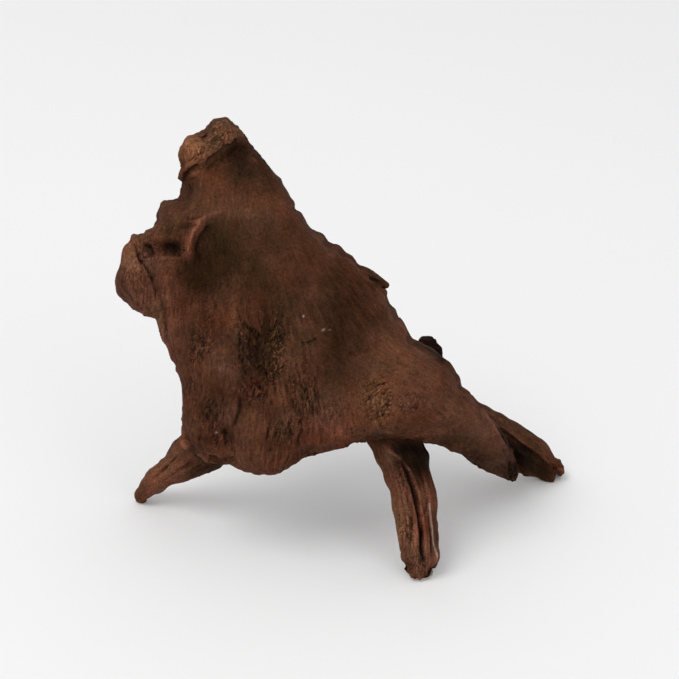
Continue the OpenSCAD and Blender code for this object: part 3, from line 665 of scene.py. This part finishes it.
def nearest_casting(skin):
    """The number of the casting whose CAD surface is closest to each point."""
    best = np.full(len(skin.points), 1e9)
    label = np.zeros(len(skin.points), int)
    for number, name in enumerate(CASTINGS):
        points, tri = node_mesh(name)
        tree = BVHTree.FromPolygons(points.tolist(), tri.tolist())
        near = np.all((skin.points > points.min(0) - 3) & (skin.points < points.max(0) + 3), axis=1)
        for i in np.nonzero(near)[0]:
            gap = tree.find_nearest(Vector(skin.points[i]), 4)[3]
            if gap is not None and gap < best[i]:
                best[i] = gap
                label[i] = number
    return label


# ---------------------------------------------------------------- carving
def line_ends(along):
    """1 along the middle of a line, fading to 0 at both its ends."""
    return smooth_step(along, 0, 0.2) * smooth_step(1 - along, 0, 0.2)


def broad_carving(spots, facing):
    """Lumps, lines and marks on the outline, in mm."""
    height = np.zeros(len(spots))
    for across, up, reach_across, reach_up, tall, *turn in LUMPS:
        height += tall * blob(spots, across, up, reach_across, reach_up, *turn)
    for tall, width, line in LINES:
        gap, along, _ = line_distance(spots, line)
        height += tall * np.exp(-(gap / width) ** 2) * (0.3 + 0.7 * line_ends(along))
    for left, left_width, right, right_width, line in STEPS:
        gap, along, side = line_distance(spots, line)
        width = np.where(side > 0, left_width, right_width)
        tall = right + (left - right) * smooth_step(side * gap, -0.6, 0.6)
        ends = line_ends(along)
        if left == right:
            ends = 0.3 + 0.7 * ends
        height += tall * np.exp(-(gap / width) ** 2) * ends
    height *= facing
    for across, up, reach, tall in EDGES:
        height += tall * blob(spots, across, up, reach, reach)
    return height


def bark_carving(spots, facing):
    """Wrinkles and cracks of the bark patches, in mm, and how much bark there is."""
    height = np.zeros(len(spots))
    amount = np.zeros(len(spots))
    cracks = np.zeros(len(spots))
    for number, (across, up, reach_a, reach_b, turn, strength, lean, gap, length) in enumerate(BARK):
        here = blob(spots, across, up, reach_a, reach_b, turn) * facing
        near = here > 0.02
        x, y = turned(spots[near], across, up, -lean)
        wave = np.stack([x / gap, y / length, np.full(len(x), number * 3.7)], axis=1)
        bend = np.stack([value_noise(wave * 0.8 + 5, 70), value_noise(wave * 0.8 + 9, 71)], axis=1)
        wave[:, :2] += 0.8 * bend
        crack = np.exp(-(cell_gap(wave, 80 + number) / 0.17) ** 2)
        crack *= smooth_step(value_noise(wave * 0.6 + 20, 72), -0.7, 0.3)
        height[near] -= strength * smooth_step(here[near], 0.05, 0.6) * crack * 0.75
        cracks[near] = np.maximum(cracks[near], strength * smooth_step(here[near], 0.05, 0.6) * crack)
        amount[near] = np.maximum(amount[near], strength * here[near])
    return height, amount, cracks


def carved_skin():
    """The finished surface and the measures that the paint needs."""
    skin = Skin(*joined_skin())
    skin.points = skin.smoothed(skin.points, 3)
    spots = on_face(skin.points)
    soft = sum(blob(spots, *place) for place in SOFTENED)[:, None]
    soft = np.clip(soft, 0, 1) * (skin.points[:, 1:2] < 22)
    skin.points = skin.points + soft * (skin.smoothed(skin.points, 60) - skin.points)
    label = nearest_casting(skin)
    grain = Grain(skin.points.min(0), skin.points.max(0))
    spots = on_face(skin.points)
    outward = skin.normals() @ -FORWARD
    seen = skin.seen()
    facing = seen * smooth_step(outward, 0.02, 0.35)
    fine, middle, wide = grain.streaks(skin.points, [(0.8, 4, 1), (1.8, 7, 2), (6.5, 14, 3)], 1.3, 14)

    # the root, arm and back surfaces are rougher than the smooth upper face
    calm = np.max([share * blob(spots, *place) for share, *place in CALM], axis=0) * seen
    rough = 0.75 * (1 - calm)
    height = broad_carving(spots, facing)
    height += 0.7 * layered_noise(skin.points, 19, 11) * rough
    height += (0.5 * wide + 0.2 * middle) * rough - 0.15
    skin.push(height)
    rise = sum(tall * blob(spots, *place) for *place, tall in LIFTED)
    skin.points = skin.points + rise[:, None] * UPWARD
    edges = np.clip(sum(blob(spots, *place) for place in ROUNDED), 0, 1)[:, None]
    skin.points = skin.points + edges * (skin.smoothed(skin.points, 12) - skin.points)

    bark, bark_amount, cracks = bark_carving(spots, facing)
    behind = 1 - facing
    block = skin.points / CRACK_BLOCK
    shift = [value_noise(block * 0.9 + 3, 60), value_noise(block * 0.9 + 8, 61)]
    block[:, :2] += 0.4 * np.stack(shift, axis=1)
    crackle = np.exp(-(cell_gap(block, 62) / 0.12) ** 2)
    where = smooth_step(layered_noise(skin.points, 30, 63, 2), -0.1, 0.5) * behind
    bark -= 0.8 * crackle * where
    cracks = np.maximum(cracks, crackle * where)
    bark_amount = np.maximum(bark_amount, where * 0.8)
    pits = smooth_step(value_noise(skin.points / 2.2, 65), 0.45, 0.8)
    pits *= smooth_step(layered_noise(skin.points, 16, 66, 2), 0.1, 0.7)
    split = smooth_step(-fine, 0.7, 1.8)
    fibres = (0.12 * fine + 0.12 * middle - 0.2 * split) * (0.15 + 0.85 * rough)
    skin.push(bark + fibres - 0.35 * pits * rough)
    low = smooth_step(PAD_TOP + 2.5 - skin.points[:, 2], 0, 2.5) * (np.abs(skin.points[:, 0]) > TIP_OUT)
    skin.points[:, 2] = np.maximum(skin.points[:, 2], PAD_TOP) - (PAD_TOP - TIP_GROUND) * low
    flow = grain.at(skin.points)
    ways = [np.abs(flow[:, 0] * math.sin(a) + flow[:, 2] * math.cos(a)) ** 8 for a in FIBRE_TURNS]
    ways = np.stack(ways, axis=1)
    ways /= ways.sum(axis=1)[:, None] + 1e-6
    tones = {
        "fine": fine, "middle": middle, "wide": wide, "split": split, "rough": rough,
        "cracks": cracks, "bark": bark_amount, "ways": ways,
    }
    return skin, label, spots, seen, tones


# ---------------------------------------------------------------- painting
def linear(colour):
    c = np.array(colour, float) / 255
    return np.where(c <= 0.04045, c / 12.92, ((c + 0.055) / 1.055) ** 2.4)


def painted(skin, spots, seen, tones, label):
    """The paint on each point, with painted shade and highlight laid into it, as linear red, green and blue.
    """
    points = skin.points
    colour = np.tile(linear(PAINTS["brown"]), (len(points), 1))

    def lay(name, amount):
        nonlocal colour
        colour = colour + np.clip(amount, 0, 1)[:, None] * (linear(PAINTS[name]) - colour)

    def lay_lines(lines):
        for width, name, strength, line in lines:
            lay(name, strength * np.exp(-(line_distance(spots, line)[0] / width) ** 2) * seen)

    patch = layered_noise(points, 34, 90, 2)
    lay("russet", 0.6 * smooth_step(patch, 0.0, 0.8))
    lay("umber", 0.6 * smooth_step(-patch, 0.05, 0.8))
    lay("tan", 0.5 * smooth_step(layered_noise(points, 24, 93, 2), 0.2, 0.9))
    blotch = layered_noise(points, 10, 99, 3)
    lay("olive", 0.45 * smooth_step(blotch, 0.1, 0.9))
    lay("rose", 0.4 * smooth_step(-blotch, 0.1, 0.9))
    tips = smooth_step(np.abs(points[:, 0]), 85, 115) * smooth_step(60 - points[:, 2], 0, 40)
    lay("tan", 0.5 * tips)
    shown = smooth_step(seen, 0, 0.5)
    for across, up, reach_across, reach_up, name, strength, *turn in STAINS:
        lay(name, strength * blob(spots, across, up, reach_across, reach_up, *turn) * shown)
    lay_lines(PAINTED_LINES)
    stub = skin.smoothed((label == CASTINGS.index("rear_stub")) * 1.0, 3)
    lay("dark_paint_and_shade", skin.smoothed(stub, 25) * 0.3 + stub * seen * 0.65)
    # Darker on surfaces facing away from the front: painted shade.
    lay("umber", 0.15 * smooth_step(skin.normals() @ FORWARD, -0.5, 0.0))
    near = skin.stand(5)
    far = skin.stand(60)
    # Darker in the cracks and in small and broad hollows: a dark wash with painted shade.
    lay("dark_paint_and_shade", 0.5 * smooth_step(tones["cracks"], 0.15, 0.9))
    lay("dark_paint_and_shade", 0.8 * smooth_step(-near, 0.06, 0.4))
    lay("dark_paint_and_shade", 0.4 * smooth_step(-far, 0.6, 3.0))
    # Lighter on ridges and broad bulges: drybrushing with painted highlight.
    colour = colour * (1 + 0.55 * smooth_step(near, 0.05, 0.35) + 0.15 * smooth_step(far, 0.4, 2.0))[:, None]
    grainy = 0.15 + 0.85 * tones["rough"]
    mottle = layered_noise(points, 7, 97, 3)
    red = layered_noise(points, 11, 98, 3)
    speckle = value_noise(points / 0.9, 95)
    tone = 1 + grainy * (0.09 * tones["fine"] + 0.08 * tones["middle"] - 0.22 * tones["split"])
    # The bark patches are made lighter here to balance the painted shade in their wrinkles.
    tone += 0.3 * tones["bark"] + 0.05 * tones["wide"] * grainy + 0.13 * speckle + 0.12 * mottle
    colour = colour * np.clip(tone, 0.3, 1.9)[:, None] * GLAZE
    colour = colour * (1 + np.clip(red, -1, 1)[:, None] * np.array([0.09, -0.04, -0.1]))
    lay_lines(CHALK_LINES)
    return colour


# ---------------------------------------------------------------- materials
def material(name, roughness, strength):
    """Painted resin: the paint with its painted shade and highlight, laid on the skin, broken up by finer
    pigment, pores and fibres, and with painted shade in the wrinkles.
    """
    mat = bpy.data.materials.new(name)
    mat.use_nodes = True
    tree = mat.node_tree
    tree.nodes.clear()

    def add(kind, inputs, **settings):
        """A new node's outputs. Each of its inputs is a number or another node's output."""
        node = tree.nodes.new(kind)
        for key, value in settings.items():
            setattr(node, key, value)
        for key, value in inputs.items():
            if isinstance(value, bpy.types.NodeSocket):
                tree.links.new(value, node.inputs[key])
            else:
                node.inputs[key].default_value = value
        return node.outputs

    def maths(operation, *values):
        return add("ShaderNodeMath", dict(enumerate(values)), operation=operation)["Value"]

    def noise(vector, scale, detail, rough, distortion=0.0):
        inputs = {"Vector": vector, "Scale": scale, "Detail": detail, "Roughness": rough}
        return add("ShaderNodeTexNoise", {**inputs, "Distortion": distortion})["Fac"]

    def spread(value, low, high, to_low, to_high):
        inputs = {"From Min": low, "From Max": high, "To Min": to_low, "To Max": to_high}
        return add("ShaderNodeMapRange", {"Value": value, **inputs}, clamp=True)["Result"]

    def laid(key, output):
        return add("ShaderNodeAttribute", {}, attribute_name=key)[output]

    def stretched(size, turn=0.0):
        inputs = {"Vector": position, "Rotation": (0, turn, 0), "Scale": size}
        return add("ShaderNodeMapping", inputs, vector_type="TEXTURE")["Vector"]

    position = add("ShaderNodeNewGeometry", {})["Position"]
    dust = noise(position, 900, 4, 0.65)
    cloud = noise(position, 160, 3, 0.6)
    tone = maths("MULTIPLY", spread(dust, 0.3, 0.7, 0.72, 1.28), spread(cloud, 0.3, 0.7, 0.84, 1.16))

    # fibres along the grain, in the slants' shares at each place
    way = add("ShaderNodeSeparateXYZ", {"Vector": laid("fibre_way", "Vector")})
    fibre = 0.0
    for axis, turn in zip("XYZ", FIBRE_TURNS):
        fibre = maths("MULTIPLY_ADD", noise(stretched(FIBRE_SIZE, turn), 1, 4, 0.6), way[axis], fibre)
    tone = maths("MULTIPLY", tone, spread(fibre, 0.33, 0.67, 0.74, 1.26))

    # fine wrinkles, where there is bark: thin lines along which a drawn-out noise crosses its middle,
    # darkened as painted shade in them
    ripple = noise(stretched(WRINKLE_SIZE), 1, 2, 0.5, 0.5)
    line = spread(maths("ABSOLUTE", maths("SUBTRACT", ripple, 0.5)), 0.02, 0.12, 1.0, 0.0)
    wrinkle = maths("MULTIPLY", line, laid("bark", "Fac"))
    tone = maths("MULTIPLY", tone, spread(wrinkle, 0.0, 1.0, 1.0, 0.3))
    shade = add("ShaderNodeVectorMath", {0: laid("paint_shade_and_light", "Color"), "Scale": tone}, operation="SCALE")

    # the relief of pores, dust, fibres and wrinkles
    pores = add("ShaderNodeTexVoronoi", {"Vector": position, "Scale": 700}, feature="F1")["Distance"]
    relief = maths("MULTIPLY_ADD", spread(pores, 0.0, 0.45, 0.0, 1.0), 0.35, dust)
    relief = maths("MULTIPLY_ADD", fibre, 2.0, relief)
    relief = maths("SUBTRACT", relief, wrinkle)
    bump = add("ShaderNodeBump", {"Strength": strength, "Distance": 0.0006, "Height": relief})

    surface = add("ShaderNodeBsdfPrincipled", {
        "Base Color": shade["Vector"],
        "Roughness": spread(fibre, 0.3, 0.7, roughness + 0.1, roughness - 0.1),
        "Specular IOR Level": 0.03,
        "Normal": bump["Normal"],
    })
    add("ShaderNodeOutputMaterial", {"Surface": surface["BSDF"]})
    return mat


def plain_material(name, colour, roughness, scale, contrast):
    """Mottled matter for pads, rods and the floor."""
    mat = bpy.data.materials.new(name)
    mat.use_nodes = True
    tree = mat.node_tree
    surface = tree.nodes["Principled BSDF"]
    coordinate = tree.nodes.new("ShaderNodeNewGeometry")
    cloud = tree.nodes.new("ShaderNodeTexNoise")
    cloud.inputs["Scale"].default_value = scale
    cloud.inputs["Detail"].default_value = 5
    ramp = tree.nodes.new("ShaderNodeValToRGB")
    low, high = ramp.color_ramp.elements
    low.position, high.position = 0.35, 0.65
    base = linear(colour)
    low.color = (*(base * (1 - contrast)), 1)
    high.color = (*np.minimum(base * (1 + contrast), 1), 1)
    bump = tree.nodes.new("ShaderNodeBump")
    bump.inputs["Strength"].default_value = 0.2
    bump.inputs["Distance"].default_value = 0.0002
    tree.links.new(coordinate.outputs["Position"], cloud.inputs["Vector"])
    tree.links.new(cloud.outputs["Fac"], ramp.inputs["Fac"])
    tree.links.new(ramp.outputs["Color"], surface.inputs["Base Color"])
    tree.links.new(cloud.outputs["Fac"], bump.inputs["Height"])
    tree.links.new(bump.outputs["Normal"], surface.inputs["Normal"])
    surface.inputs["Roughness"].default_value = roughness
    return mat


# ---------------------------------------------------------------- pieces
def part_skin(skin, label, attributes, materials):
    """The skin as one piece for each casting, with borders that coincide."""
    normals = skin.normals()
    votes = label[skin.quads]
    face_label = np.sort(votes, axis=1)[:, 1]
    for number, name in enumerate(CASTINGS):
        mine = skin.quads[face_label == number]
        used = np.unique(mine)
        number_of = np.zeros(len(skin.points), int)
        number_of[used] = np.arange(len(used))
        mesh = bpy.data.meshes.new(name + "_skin")
        mesh.vertices.add(len(used))
        mesh.vertices.foreach_set("co", (skin.points[used] * MM).ravel())
        mesh.loops.add(len(mine) * 4)
        mesh.loops.foreach_set("vertex_index", number_of[mine].ravel())
        mesh.polygons.add(len(mine))
        mesh.polygons.foreach_set("loop_start", np.arange(len(mine)) * 4)
        mesh.update(calc_edges=True)
        mesh.polygons.foreach_set("use_smooth", np.ones(len(mine), bool))
        for key, values in attributes.items():
            if values.ndim == 2:
                layer = mesh.attributes.new(key, "FLOAT_COLOR", "POINT")
                full = np.ones((len(used), 4))
                full[:, :3] = values[used]
                layer.data.foreach_set("color", full.ravel())
            else:
                layer = mesh.attributes.new(key, "FLOAT", "POINT")
                layer.data.foreach_set("value", values[used])
        mesh.normals_split_custom_set_from_vertices(normals[used].tolist())
        mesh.materials.append(materials[SLOTS[name]])
        piece = bpy.data.objects.new(name + "_skin", mesh)
        bpy.context.scene.collection.objects.link(piece)
        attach(piece, "root")
        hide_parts(name)
        print(name, "skin", len(mine), "faces")


# ---------------------------------------------------------------- stage
def area_light(name, place, size, power):
    data = bpy.data.lights.new(name, "AREA")
    data.shape = "DISK"
    data.size = size
    data.energy = power
    light = bpy.data.objects.new(name, data)
    light.location = place
    light.rotation_euler = (Vector(AIM * MM) - Vector(place)).to_track_quat("-Z", "Y").to_euler()
    bpy.context.scene.collection.objects.link(light)


def set_stage():
    mesh = bpy.data.meshes.new("studio_floor")
    mesh.from_pydata([(-6, -6, 0), (6, -6, 0), (6, 6, 0), (-6, 6, 0)], [], [(0, 1, 2, 3)])
    mesh.materials.append(plain_material("studio_floor", (250, 250, 250), 0.9, 3, 0.004))
    floor = bpy.data.objects.new("studio_floor", mesh)
    bpy.context.scene.collection.objects.link(floor)
    for name, (place, size, power) in LIGHTS.items():
        area_light(name, place, size, power)
    scene = bpy.context.scene
    world = bpy.data.worlds.new("studio")
    world.use_nodes = True
    world.node_tree.nodes["Background"].inputs["Color"].default_value = (1, 1, 1, 1)
    world.node_tree.nodes["Background"].inputs["Strength"].default_value = SKY
    scene.world = world
    scene.view_settings.view_transform = "Standard"
    scene.view_settings.look = "None"

    data = bpy.data.cameras.new("front_view")
    data.lens = LENS
    data.sensor_width = SENSOR
    camera = bpy.data.objects.new("front_view", data)
    camera.location = EYE * MM
    camera.rotation_euler = Vector(FORWARD).to_track_quat("-Z", "Y").to_euler()
    scene.collection.objects.link(camera)
    scene.camera = camera


# ---------------------------------------------------------------- all of it
skin, label, spots, seen, tones = carved_skin()
colour = painted(skin, spots, seen, tones, label)
wood = {slot: material(slot, rough, 0.5) for slot, rough in
        (("cast_wood", 0.62), ("cast_wood_dark", 0.7), ("cast_wood_pale", 0.6))}
part_skin(skin, label, {"paint_shade_and_light": colour, "bark": tones["bark"], "fibre_way": tones["ways"]}, wood)

rod_stuff = plain_material("rod", (205, 210, 200), 0.4, 900, 0.06)
pad_stuff = plain_material("foot_pad", (176, 168, 158), 0.75, 700, 0.1)
stained_pad_stuff = plain_material("foot_pad_stained", (66, 48, 38), 0.75, 700, 0.1)
for name in DOWELS + PADS:
    node = nodes[name]
    stuff = rod_stuff if name in DOWELS else pad_stuff if name == "centre_foot_pad" else stained_pad_stuff
    node.data.materials.clear()
    node.data.materials.append(stuff)

set_stage()
